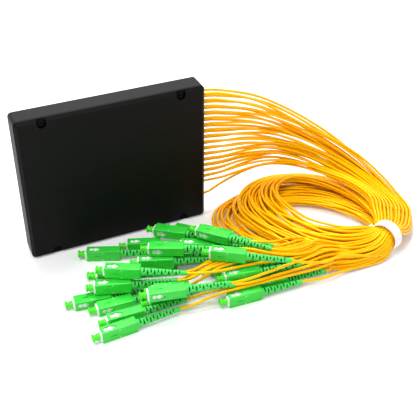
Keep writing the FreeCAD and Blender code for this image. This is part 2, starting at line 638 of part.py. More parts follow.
def fan_points(index):
    """Route of one cable from the cable block to the coil, 0 being the input."""
    y, z = outlet_holes()[index]
    row_share = max(0, (index - 1) // 2) / (ROWS - 1)
    lane, layer = fan_seat(index)
    lane_share = lane / LAST_LANE
    points = [Vector(HALF_LENGTH - CABLE_IN_BLOCK, y, z), Vector(HALF_LENGTH + 6, y, z)]
    for station, layered, gathered, drop in zip(fan_stations(), LAYERED, GATHERED, INPUT_DROP):
        low, width, upward = station
        share = (1 - gathered) * row_share + gathered * lane_share
        aside = -y * (1 - layered) + layer * LAYER_PITCH * layered
        point = low + width * share + upward * aside
        if index == 0:
            point -= Vector(width).normalize() * drop
        points.append(point)
    return points


def tail_points(name):
    """Route of one cable from the end of its connector's boot to the coil."""
    placement = connector_placement(CONNECTOR_PLACES[name])
    start = placement.multVec(Vector(GRIP_LENGTH + BOOT_LENGTH, 0, 0))
    return [start] + [Vector(*point) for point in TAIL_POINTS[name]]


def cable(index, name):
    """Both free stretches of one cable: the fan at the box and the tail."""
    fan = tube(name + " fan", fan_points(index))
    tail = tube(name + " tail", tail_points(name))
    return Part.makeCompound([fan, tail])


# ---------------------------------------------------------------- coil and strap
def coil_section(section):
    """Eight-sided section of the bundle between its inner and outer points."""
    inner, outer, inner_height, middle_height, outer_height = section
    a = Vector(inner[0], inner[1], 0)
    b = Vector(outer[0], outer[1], 0)
    outline = [(0.06, 0), (0.96, 0), (1.0, 0.3 * outer_height), (0.99, 0.9 * outer_height),
               (0.8, middle_height * 0.5 + outer_height * 0.5), (0.42, middle_height),
               (0.1, inner_height), (0.0, 0.4 * inner_height)]
    return [a * (1 - share) + b * share + Vector(0, 0, height) for share, height in outline]


def neck_section(step):
    """Eight-sided section of the neck that the strap pulls the bundle into."""
    heading = math.radians(TIE_HEADING)
    along = Vector(math.cos(heading), math.sin(heading), 0)
    outward = Vector(-math.sin(heading), math.cos(heading), 0)
    centre = Vector(TIE_CENTRE[0], TIE_CENTRE[1], TIE_INNER_RADIUS + TIE_WALL) + along * step
    points = []
    for corner in range(8):
        angle = math.radians(-112.5 + 45 * corner)
        across = outward * (COIL_NECK_RADIUS * math.cos(angle))
        points.append(centre + across + Vector(0, 0, COIL_NECK_RADIUS * math.sin(angle)))
    return points


def cable_coil():
    """The closed ring of two turns of all the cables."""
    rings = [neck_section(-COIL_NECK_HALF_LENGTH), neck_section(COIL_NECK_HALF_LENGTH)]
    rings += [coil_section(section) for section in COIL_SECTIONS]
    faces = []
    for near, far in zip(rings, rings[1:] + rings[:1]):
        for k in range(len(near)):
            after = (k + 1) % len(near)
            quad = (near[k], near[after], far[after], far[k])
            for corners in ((quad[0], quad[1], quad[2]), (quad[0], quad[2], quad[3])):
                faces.append(Part.Face(Part.makePolygon(list(corners) + [corners[0]])))
    shell = Part.makeShell(faces)
    shell.sewShape()
    solid = Part.makeSolid(shell)
    if solid.Volume < 0:
        solid.reverse()
    return solid


def coil_tie():
    """The white strap round the coil's neck, with its short free tab."""
    heading = math.radians(TIE_HEADING)
    along = Vector(math.cos(heading), math.sin(heading), 0)
    outward = Vector(-math.sin(heading), math.cos(heading), 0)
    radius = TIE_INNER_RADIUS + TIE_WALL
    start = Vector(TIE_CENTRE[0], TIE_CENTRE[1], radius) - along * (TIE_WIDTH / 2)
    ring = Part.makeCylinder(radius, TIE_WIDTH, start, along)
    ring = ring.cut(Part.makeCylinder(TIE_INNER_RADIUS, TIE_WIDTH + 2, start - along, along))
    tab = Part.makeBox(TIE_TAB_LENGTH, TIE_WIDTH, TIE_TAB_THICKNESS)
    tab.translate(Vector(0, -TIE_WIDTH / 2, -TIE_TAB_THICKNESS / 2))
    tab.rotate(Vector(0, 0, 0), Vector(0, 0, 1), TIE_HEADING - 90)
    tab.translate(Vector(TIE_CENTRE[0], TIE_CENTRE[1], radius))
    reach = TIE_INNER_RADIUS + TIE_WALL / 2
    tab.translate(outward * -reach if outward.dot(Vector(0, 1, 0)) < 0 else outward * reach)
    return ring.fuse(tab).removeSplitter()


# ---------------------------------------------------------------- export
def export(name, shape):
    """Write one node's STEP file."""
    shape.exportStep("parts/" + name + ".step")


def export_box():
    """Write the pieces of the box."""
    export("base_shell", base_shell())
    export("cover", cover())
    export("cover_screws", cover_screws())
    export("cable_block", cable_block())
    export("splitter_chip", splitter_chip())
    export("chip_boot_input", chip_boot(-1))
    export("chip_boot_output", chip_boot(1))
    export("chip_clips", chip_clips())
    export("ribbon_fan", ribbon_fan())
    export("foam_pad", foam_pad())
    export("fibre_loop", fibre_loop())


def export_connectors():
    """Write the connector pieces: the input's apart, the outputs' in groups."""
    pieces = [("grip", "grips", grip()), ("body", "bodies", inner_body()),
              ("ferrule", "ferrules", ferrule()), ("boot", "boots", boot()),
              ("dust_cap", "dust_caps", dust_cap())]
    output_places = [place for name, place in CONNECTOR_PLACES.items() if name != "input"]
    for one, many, solid in pieces:
        outputs = [placed(solid, place) for place in output_places]
        export("input_" + one, placed(solid, CONNECTOR_PLACES["input"]))
        export("output_" + many, Part.makeCompound(outputs))


def main():
    """Build every piece."""
    os.makedirs("parts", exist_ok=True)
    export_box()
    export_connectors()
    for index, name in enumerate(CONNECTOR_PLACES):
        export("cable_" + name, cable(index, name))
    export("cable_coil", cable_coil())
    export("coil_tie", coil_tie())


main()
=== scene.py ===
"""Blender scene of a box-type 1 x 32 fibre splitter with its cables and plugs.

The box stands on a long edge.  Its 33 cables leave the right-hand end, fall into a
coil of two turns that a strap ties, and end in plugs that lie in a heap in front.
Tables are in millimetres and degrees, as the object is drawn; meshes are in metres.
"""

import json
import logging
import math
from dataclasses import dataclass, field
from enum import Enum

import bmesh
import bpy
from mathutils import Matrix, Vector

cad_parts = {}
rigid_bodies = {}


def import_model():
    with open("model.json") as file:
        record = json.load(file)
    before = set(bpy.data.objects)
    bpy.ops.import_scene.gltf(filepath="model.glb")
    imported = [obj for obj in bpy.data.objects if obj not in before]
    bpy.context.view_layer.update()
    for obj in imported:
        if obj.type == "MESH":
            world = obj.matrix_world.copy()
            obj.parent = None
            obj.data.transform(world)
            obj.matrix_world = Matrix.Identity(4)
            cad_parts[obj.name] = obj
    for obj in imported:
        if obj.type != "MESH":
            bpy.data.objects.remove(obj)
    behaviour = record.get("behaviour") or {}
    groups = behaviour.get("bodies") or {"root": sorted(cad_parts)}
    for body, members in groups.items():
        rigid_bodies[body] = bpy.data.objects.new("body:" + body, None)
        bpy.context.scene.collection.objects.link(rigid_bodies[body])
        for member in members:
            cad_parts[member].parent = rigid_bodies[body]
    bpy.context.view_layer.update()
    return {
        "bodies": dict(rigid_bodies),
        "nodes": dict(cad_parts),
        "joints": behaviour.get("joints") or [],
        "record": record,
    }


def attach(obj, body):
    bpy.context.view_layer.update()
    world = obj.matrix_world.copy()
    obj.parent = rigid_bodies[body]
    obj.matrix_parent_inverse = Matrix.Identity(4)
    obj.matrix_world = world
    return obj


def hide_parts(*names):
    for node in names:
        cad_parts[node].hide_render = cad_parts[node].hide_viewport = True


Pair = tuple[float, float]
Triple = tuple[float, float, float]
Mesh = bpy.types.Mesh
Tree = bpy.types.NodeTree
Node = bpy.types.Node
Socket = bpy.types.NodeSocket

LOG = logging.getLogger("scene")
MM = 0.001

# ---------------------------------------------------------------- cables
CABLE_DIAMETER = 2.0
OUTLET_X = 70.0
CABLE_IN_BLOCK = 4.0
ROWS = 16
ROW_PITCH = 5.1
COLUMN_OFFSET = 3.0
LOWEST_ROW_Z = 29.3
INPUT_Z = 15.0

# ---------------------------------------------------------------- connectors
GRIP_LENGTH = 25.0
GRIP_WIDTH = 9.0
GRIP_HEIGHT = 7.4
BOOT_LENGTH = 32.0
# A cable lies straight for this far on both sides of its boot's end, and ends in the
# boot at this distance from the grip's front.
BOOT_REACH = 3.0
INSIDE_BOOT = 40.0
# Place of each connector: x and y of its grip's front, height of its underside,
# heading, pitch and roll in degrees.
CONNECTOR_PLACES = {
    "input": (-2, -27, 0, -20, 0, 90),
    "row16_front": (39, -21, 0, -44, 0, 0),
    "row16_back": (34, -50, 0, -24, 0, 0),
    "row15_front": (20.5, -27.5, 9.4, -40, 3, 0),
    "row15_back": (-33, -24, 0, -22, 0, 90),
    "row14_front": (53, -40.5, 7.6, -44, 0, 0),
    "row14_back": (2, -50.3, 0, -20, 0, 0),
    "row13_front": (31.5, -52, 7.6, -26, 0, 90),
    "row13_back": (-34, -49, 0, -20, 0, 0),
    "row12_front": (-4, -58, 7.6, -20, 0, 90),
    "row12_back": (43, -78, 0, -6, 0, 90),
    "row11_front": (11, -52.5, 7.6, -24, 0, 0),
    "row11_back": (-37, -63, 0, -16, 0, 90),
    "row10_front": (-36, -61, 9.2, -20, 0, 0),
    "row10_back": (54.5, -87.7, 0, -4, 0, 90),
    "row9_front": (-57, -72, 0, -7, 0, 0),
    "row9_back": (-9.5, -93, 0, -1, 0, 90),
    "row8_front": (47, -84.2, 9.2, -8, 0, 90),
    "row8_back": (-41, -71, 7.6, -17, 0, 90),
    "row7_front": (45, -52, 18.2, -46, 0, 0),
    "row7_back": (-44, -84, 0, -3, 0, 0),
    "row6_front": (5, -56, 17, -24, 0, 0),
    "row6_back": (57, -98, 0, -4, 0, 90),
    "row5_front": (46, -92.2, 9.2, -8, 0, 90),
    "row5_back": (-32, -67, 17, -27, 0, 90),
    "row4_front": (-13, -102, 17, -12, 0, 0),
    "row4_back": (45, -100.2, 9.2, -8, 0, 90),
    "row3_front": (-6, -92, 9.2, -17, 0, 0),
    "row3_back": (63, -106.2, 0, -7, 0, 90),
    "row2_front": (-42, -99.2, 0, -1, 0, 90),
    "row2_back": (-50, -110, 0, 3, 0, 90),
    "row1_front": (41, -84, 21.5, -33, 0, 90),
    "row1_back": (41, -113, 0, -3, 0, 90),
}
# Points of each tail from its boot to the coil.
TAIL_POINTS = {
    "input": [(62, -54.5, 3.8), (76, -65.2, 3.4), (87.5, -70, 3.5), (98.8, -71.5, 3.4)],
    "row16_front": [(96.5, -68.5, 3.7)],
    "row16_back": [(102.8, -74.2, 3.7)],
    "row15_front": [(75.6, -71.7, 16.6), (88, -78.8, 16.6), (98, -81, 16), (107.9, -79, 15.3)],
    "row15_back": [
        (26, -51.6, 4.2), (33, -56.9, 3.8), (45, -62, 3.6), (57, -67, 3.6), (71, -72, 3.6),
        (86, -77, 3.5), (95.7, -78, 3.5), (105.2, -76.5, 3.5)],
    "row14_front": [(99, -83.2, 13.9), (106, -85, 14.6), (113, -83.5, 14.4)],
    "row14_back": [(68, -74.6, 3.7), (84, -79, 3.8), (96, -80.5, 4), (107.9, -79, 3.8)],
    "row13_front": [(90.9, -83.4, 11.6), (101.3, -84.4, 11.2), (111.2, -82, 11)],
    "row13_back": [
        (31, -71.5, 2.6), (45, -72.6, 1.8), (58, -74, 1.4), (71, -75.8, 1.3), (84, -79, 1.2),
        (97.5, -81, 1.5), (110.2, -81, 1.6)],
    "row12_front": [
        (62, -80, 12.2), (79, -83.2, 12.3), (96, -86.2, 12), (105.5, -86.5, 12),
        (114.3, -84.7, 12)],
    "row12_back": [(113.6, -84, 4.5)],
    "row11_front": [(73, -79.5, 10.2), (87, -81.2, 8.2), (99, -82, 7.5), (110.9, -81.6, 7.5)],
    "row11_back": [
        (26, -81, 8), (35, -83, 16.5), (46, -84, 20.2), (58, -85.2, 20), (70, -86.9, 19.9),
        (81, -88.6, 18.6), (97, -90.7, 16.8), (107.5, -90.5, 16), (117.8, -88.8, 15.8)],
    "row10_front": [
        (27, -83.9, 14), (38, -86, 19), (53, -87.1, 20), (69, -89.1, 19.9), (84, -91.4, 18.1),
        (100, -93.3, 16.8), (110, -93, 16), (119.3, -90.9, 15.8)],
    "row10_back": [(118.7, -90.1, 4.5)],
    "row9_front": [
        (11.6, -82, 4.6), (23, -86.3, 9.5), (33, -88.6, 17), (44, -89.2, 20.2), (56, -90.1, 20),
        (69, -91.6, 19.9), (83, -93.5, 18), (100, -95.6, 16.8), (110.5, -95.5, 16),
        (120.7, -92.9, 15.8)],
    "row9_back": [
        (55.5, -92.7, 4.5), (68, -93.7, 4.5), (80, -94.5, 4.5), (100, -97, 4.5), (111, -96.5, 4.5),
        (121.3, -93.7, 4.5)],
    "row8_front": [(119.8, -91.7, 12.5)],
    "row8_back": [
        (24, -90.8, 13.5), (34, -91.3, 18.5), (45, -91.8, 20.2), (57, -92.4, 20), (69, -93.8, 19.9),
        (83, -95.7, 17.9), (100, -97.9, 16.8), (111.5, -97.5, 16), (122.1, -95, 15.8)],
    "row7_front": [(95, -98.4, 20.8), (107, -99, 20), (114.7, -97.4, 19.5), (121.3, -93.8, 19.3)],
    "row7_back": [
        (22, -88.4, 4.8), (32, -92.4, 12.5), (41, -94.1, 19.4), (54, -94.6, 20.1),
        (68, -96.1, 19.8), (83, -98, 17.9), (101, -100.2, 17), (112.5, -100, 16.5),
        (123.4, -97.1, 16)],
    "row6_front": [
        (70, -86.6, 22.3), (84, -97.6, 20.6), (98, -102.8, 18.9), (111.8, -104, 18),
        (124.5, -99.4, 17.6)],
    "row6_back": [(123.6, -97.6, 4.5)],
    "row5_front": [(124.4, -99.4, 13)],
    "row5_back": [
        (29, -97.6, 21.6), (41, -99.2, 20.6), (55, -99.6, 20), (70, -101.2, 19.8),
        (86, -102.8, 17.7), (103, -103.8, 16.4), (114.5, -103.5, 16), (125.5, -101.7, 15.8)],
    "row4_front": [
        (55, -114.4, 20.2), (69, -112, 18.6), (85, -109.5, 17.6), (103, -107.2, 16.6),
        (115, -105.5, 16), (126.5, -104, 16)],
    "row4_back": [(127.3, -105.8, 13.2)],
    "row3_front": [
        (61, -111.5, 13), (77, -110.9, 13), (97, -111, 12.6), (113, -111, 12.5),
        (128.8, -110.5, 12.3)],
    "row3_back": [(128.6, -109.5, 4.5)],
    "row2_front": [
        (26, -100.4, 5.5), (37, -103.6, 7.6), (48, -107, 9.8), (62, -108.7, 10.5),
        (78, -109.5, 10.6), (98, -109.8, 10), (113.5, -109, 9.5), (128, -107.1, 9.6)],
    "row2_back": [
        (17, -108.2, 5.5), (28, -108.8, 8.2), (40, -109.8, 10.5), (54, -111.2, 10.9),
        (69, -111.9, 10.8), (85, -112.5, 10.6), (102, -112.9, 9.6), (116, -112.5, 9),
        (129, -111, 9)],
    "row1_front": [
        (98, -119.3, 24.4), (109, -119.6, 20.5), (119.5, -118, 18), (129.8, -114.4, 17.5)],
    "row1_back": [(108.2, -117.9, 4), (119.6, -118.6, 3.6), (130.4, -116.8, 3.6)],
}
# The fan's two guide lines, from the outlet to the coil.  The lists after them hold
# one value for each of their points.
FAN_TOP = [(90, -2, 103), (114, -3, 95), (137, -5, 80.5), (159, -10.5, 65), (179.5, -19, 50.5),
           (197, -32, 36.5), (209, -47.5, 23), (214, -63, 14), (216, -80, 9)]
FAN_BOTTOM = [(88, 4, 26), (107, 4, 29), (125, 1, 31.5), (142, -4.5, 31), (157, -14, 28.5),
              (167.5, -26, 25.5), (176, -38, 24.2), (183, -52, 22.5), (187, -66.5, 20)]
# How far the two columns have turned into the coil's layers.
LAYERED = [0.0, 0.3, 0.7, 1.0, 1.0, 1.0, 1.0, 1.0, 1.0]
# How far the rows have changed places for the coil's lanes.
GATHERED = [0.0, 0.15, 0.4, 0.7, 0.95, 1.0, 1.0, 1.0, 1.0]
# How far the input cable hangs below the others.
INPUT_DROP = [9.5, 7.0, 4.8, 3.0, 1.0, 0.0, 0.0, 0.0, 0.0]
# How far a cable strays.
FAN_LOOSENESS = [0.5, 1.3, 2.0, 2.2, 1.8, 1.3, 0.9, 0.5, 0.2]
STRAIGHT_RUN = 6.0
LAYER_PITCH = 2.2
STRAY_HIGH_SHARE = 0.6

# Seats in the coil, as (lane, layer): those of six cables in two lanes, and those of
# the first three cables.
LAST_LANE = 10
GROUP_SEATS = [(0, 1), (0, -1), (0, 0), (1, 0), (1, 1), (1, -1)]
FIRST_SEATS = [(0, 0), (0, 1), (0, -1)]


# How cables stray: radians from cable to cable and from place to place.
FAN_WAVE = (2.7, 0.8)
MAIN_WAVE = (2.4, 1.3)
SECOND_WAVE = (1.1, 2.1)
SECOND_SHARE = 0.6
QUICK_RATE = 3.7
STRAY_WITHIN = 1.6
STRAY_ACROSS = 0.5
LAYER_SHIFT = 0.33


class Turn(Enum):
    """The two directions in which a cable strays from the fan's sheet."""

    WIDE = 1.0
    HIGH = 2.3


class Pass(Enum):
    """Which way through the strap a cable takes, top to bottom."""

    FIRST = 0
    SECOND = 3
    THIRD = 6


@dataclass(frozen=True)
class Station:
    """One cross-section of a sheet of cables, three layers deep.

    inner and outer are the middle layer's ends, by the coil's hole and away from it,
    pitch is the height from one layer to the next and loose how far cables stray.
    """

    inner: Triple
    outer: Triple
    pitch: float = 2.1
    loose: float = 1.0


# The strap's neck, through which every cable goes three times.
NECK_CENTRE = (177.5, -103.0, 11.6)
NECK_HEADING = 203.0
NECK_RADIUS = 9.4
NECK_TILT = 28.0
LEVELS = 9

ENTRY = [Station((181, -80, 19.5), (210, -91, 9), 2.0, 0.3),
         Station((178.5, -88.5, 17.5), (197, -104.5, 10), 2.0, 0.1)]
FIRST_TURN = [
    Station((164.5, -93.5, 15.5), (166.5, -114, 11), 2.0, 0.2),
    Station((149.5, -87.5, 15), (147, -115, 10), 2.0, 0.5),
    Station((138.5, -78, 14.5), (130, -108, 9.5)),
    Station((130, -66.5, 14), (114, -92, 9)),
    Station((126, -54, 13.5), (101, -72, 9)),
    Station((124.5, -42, 13.5), (92, -48, 9)),
    Station((125.5, -28, 14), (88, -27, 9)),
    Station((130, -15, 15), (97, -9, 10)),
    Station((141, -9.5, 15.5), (117, 0, 11.5)),
    Station((154, -12.5, 15.5), (140, 1.5, 12)),
    Station((167, -23.5, 15), (165, -8, 12)),
    Station((177, -38, 14), (187, -27, 10.5)),
    Station((182.5, -54, 13), (203, -47, 9), 2.1, 0.7),
    Station((184, -70, 13), (209, -70, 8), 2.1, 0.4),
    Station((182, -84, 13), (203, -92, 9.5), 2.0, 0.2),
]
SECOND_TURN = [
    Station((164, -94.5, 9.2), (166.5, -116, 6), 2.0, 0.2),
    Station((149.5, -88, 8.8), (146, -117, 5.5), 2.0, 0.5),
    Station((139, -80, 8), (128, -112, 4.8)),
    Station((130, -71, 7), (112, -100, 4)),
    Station((124, -62, 6), (95, -84, 3.4)),
    Station((119, -51, 5.5), (80, -65, 3.3)),
    Station((117, -41, 5.2), (71, -45, 3.3)),
    Station((119, -32.5, 5), (69, -25, 3.3)),
    Station((126, -27, 5), (83, -7, 3.4)),
    Station((137, -27.5, 5), (107, 0, 3.8)),
    Station((150, -33, 5), (137, 2, 4.2)),
    Station((163, -43.5, 5), (163, -8, 4.2)),
    Station((173, -57, 5), (187, -28, 4)),
    Station((179, -71, 5.5), (206, -55, 3.8), 2.1, 0.5),
    Station((180.5, -84, 7), (205, -89, 5), 2.0, 0.2),
]
DEPARTURE = Station((164.5, -96, 3.4), (167, -117, 3.0), 1.9, 0.2)


def outlet_holes() -> list[Pair]:
    """Find the holes of the cables in the box's end.

    Returns:
        The holes as (y, z) in millimetres, the input's first.
    """
    holes = [(0.0, INPUT_Z)]
    for row in range(ROWS):
        z = LOWEST_ROW_Z + row * ROW_PITCH
        holes += [(-COLUMN_OFFSET, z), (COLUMN_OFFSET, z)]
    return holes


def connector_matrix(place: tuple[float, ...]) -> Matrix:
    """Work out where one connector lies.

    Args:
        place: x, y and underside of its grip's front, heading, pitch and roll.

    Returns:
        The placement in metres, from the front of its grip.
    """
    x, y, underside, heading, pitch, roll = place
    turn = math.radians(roll)
    half = abs(GRIP_WIDTH / 2 * math.sin(turn)) + abs(GRIP_HEIGHT / 2 * math.cos(turn))
    turned = Matrix.Rotation(math.radians(heading), 4, "Z")
    turned @= Matrix.Rotation(math.radians(-pitch), 4, "Y")
    turned @= Matrix.Rotation(turn, 4, "X")
    return Matrix.Translation(Vector((x, y, underside + half)) * MM) @ turned


@dataclass
class CableRoute:
    """Route of one cable: fan, two turns of the coil, and tail."""

    index: int
    name: str

    @property
    def seat(self) -> tuple[int, int]:
        """Lane and layer that the cable takes in the coil."""
        if self.index < len(FIRST_SEATS):
            return FIRST_SEATS[self.index]
        group, member = divmod(self.index - len(FIRST_SEATS), len(GROUP_SEATS))
        lane, layer = GROUP_SEATS[member]
        return 1 + 2 * group + lane, layer

    def fan(self) -> list[Vector]:
        """Lay the cable from the cable block to the coil.

        Returns:
            The points, in millimetres.
        """
        y, z = outlet_holes()[self.index]
        lane, layer = self.seat
        row_share = max(0, (self.index - 1) // 2) / (ROWS - 1)
        lows = [Vector(p) for p in FAN_BOTTOM]
        highs = [Vector(p) for p in FAN_TOP]
        middles = [(a + b) / 2 for a, b in zip(lows, highs)]
        outlet_z = LOWEST_ROW_Z + (ROWS - 1) * ROW_PITCH / 2
        line = [Vector((OUTLET_X, 0, outlet_z))] + middles + [middles[-1]]
        points = [Vector((OUTLET_X - CABLE_IN_BLOCK, y, z)),
                  Vector((OUTLET_X + STRAIGHT_RUN, y, z))]
        for k, low in enumerate(lows):
            width = highs[k] - low
            upward = (line[k + 2] - line[k]).cross(width).normalized()
            share = (1 - GATHERED[k]) * row_share + GATHERED[k] * lane / LAST_LANE
            aside = -y * (1 - LAYERED[k]) + layer * LAYER_PITCH * LAYERED[k]
            point = low + width * share + upward * aside
            point += (width.normalized() * self.stray(k, Turn.WIDE)
                      + upward * self.stray(k, Turn.HIGH) * STRAY_HIGH_SHARE)
            if self.index == 0:
                point -= width.normalized() * INPUT_DROP[k]
            points.append(point)
        return points

    def stray(self, k: int, turn: Turn) -> float:
        """Find how far the cable wanders at one point of the fan.

        Args:
            k: the point's number along the fan.
            turn: the direction in which it wanders.

        Returns:
            The distance, in millimetres.
        """
        phase = FAN_WAVE[0] * self.index * turn.value + FAN_WAVE[1] * k + turn.value
        return FAN_LOOSENESS[k] * math.sin(phase)

    def strand(self, station: Station, number: int) -> Vector:
        """Find the cable's place at one station of the coil.

        Args:
            station: the cross-section.
            number: the station's number, by which the looseness differs.

        Returns:
            The point, in millimetres.
        """
        lane, layer = self.seat
        inner = Vector(station.inner)
        outer = Vector(station.outer)
        outward = (outer - inner).normalized()
        point = inner.lerp(outer, (lane - LAYER_SHIFT * layer) / LAST_LANE)
        wave = MAIN_WAVE[0] * self.index + MAIN_WAVE[1] * number
        second = SECOND_WAVE[0] * self.index + SECOND_WAVE[1] * number
        sway = math.sin(wave) + SECOND_SHARE * math.sin(second)
        point += outward * STRAY_WITHIN * sway * station.loose
        lift = STRAY_ACROSS * math.sin(QUICK_RATE * wave) * station.loose
        point.z += layer * station.pitch + lift
        point.z = max(CABLE_DIAMETER / 2, point.z)
        return point

    def neck(self, through: Pass) -> Vector:
        """Find the cable's place in the strap's neck.

        Args:
            through: the pass that the cable makes.

        Returns:
            The point, in millimetres.
        """
        lane, layer = self.seat
        across = 2 * lane / LAST_LANE - 1
        up = 1 - 2 * (through.value + 1 - layer) / (LEVELS - 1)
        side = across * math.sqrt(1 - up * up / 2) * NECK_RADIUS
        rise = up * math.sqrt(1 - across * across / 2) * NECK_RADIUS
        lean = math.radians(NECK_TILT)
        heading = math.radians(NECK_HEADING)
        outward = Vector((-math.sin(heading), math.cos(heading), 0))
        point = Vector(NECK_CENTRE) + outward * (side * math.cos(lean) - rise * math.sin(lean))
        point.z += side * math.sin(lean) + rise * math.cos(lean)
        return point

    def coil(self) -> list[Vector]:
        """Lay the two turns, from the fan to the start of the tail.

        Returns:
            The points, in millimetres.
        """
        points = [self.strand(station, 0) for station in ENTRY]
        points.append(self.neck(Pass.FIRST))
        for stations, through in ((FIRST_TURN, Pass.SECOND), (SECOND_TURN, Pass.THIRD)):
            for k, station in enumerate(stations):
                points.append(self.strand(station, k + through.value))
            points.append(self.neck(through))
        points.append(self.strand(DEPARTURE, 0))
        return points

    def tail(self) -> list[Vector]:
        """Lay the end, from the coil to the inside of the connector's boot.

        Returns:
            The points, in millimetres.
        """
        matrix = connector_matrix(CONNECTOR_PLACES[self.name])
        points = [Vector(p) for p in reversed(TAIL_POINTS[self.name])]
        tip = GRIP_LENGTH + BOOT_LENGTH
        for along in (tip + BOOT_REACH, tip - BOOT_REACH, INSIDE_BOOT):
            points.append(matrix @ Vector((along * MM, 0, 0)) / MM)
        return points

    def points(self) -> list[Vector]:
        """Lay the whole route from the box to the connector.

        Returns:
            The points, in metres.
        """
        coil = self.coil()
        tail = self.tail()
        join = (coil[-1] + tail[0]) / 2
        return [p * MM for p in self.fan() + coil + [join] + tail]


# ---------------------------------------------------------------- nodes and objects
def fill(tree: Tree, node: Node, inputs: dict) -> None:
    """Set or link a node's inputs.

    Args:
        tree: the nodes it is among.
        node: the node.
        inputs: a value or a socket for each input, by name or number.
    """
    for key, value in inputs.items():
        if isinstance(value, Socket):
            tree.links.new(value, node.inputs[key])
        else:
            node.inputs[key].default_value = value


def add_node(tree: Tree, kind: str, inputs: dict) -> Node:
    """Add a shader node.

    Args:
        tree: the nodes to add to.
        kind: its type, without the prefix.
        inputs: a value or a socket for each input, by name or number.

    Returns:
        The node.
    """
    made = tree.nodes.new("ShaderNode" + kind)
    fill(tree, made, inputs)
    return made


def combine(tree: Tree, operation: str, first: Socket, second: Socket) -> Socket:
    """Combine two numbers.

    Args:
        tree: the nodes to add to.
        operation: what is done with them.
        first: the first number.
        second: the second number.

    Returns:
        The result.
    """
    made = add_node(tree, "Math", {0: first, 1: second})
    made.operation = operation
    return made.outputs["Value"]


def add_object(name: str, data: bpy.types.ID) -> bpy.types.Object:
    """Add an object to the scene.

    Args:
        name: its name.
        data: its mesh, curve, light or camera.

    Returns:
        The object.
    """
    made = bpy.data.objects.new(name, data)
    bpy.context.scene.collection.objects.link(made)
    return made


# ---------------------------------------------------------------- finishes
GLOSS_SPREAD = 0.08
SMOOTHEST = 0.04
BUMP_HEIGHT = 0.0001
GLOW_RADIUS = (0.003, 0.0012, 0.0004)
GLOW_SCALE = 0.5
GRAINS_PER_PATCH = 12
DRAWN_OUT = (0.03, 1.0, 1.0)
RIB_DISTORTION = 1.5
# Numbers of the sockets of a colour mix.
MIX_AMOUNT, MIX_FIRST, MIX_SECOND, MIX_RESULT = 0, 6, 7, 2


class Grain(Enum):
    """How a surface is broken up at the scale of a touch."""

    MOULDED = "fine noise, as from a spark-eroded mould"
    WOVEN = "crossed ribs, as on woven tape"
    FOAM = "open cells"
    DRAWN = "streaks along X, as on drawn or brushed metal"


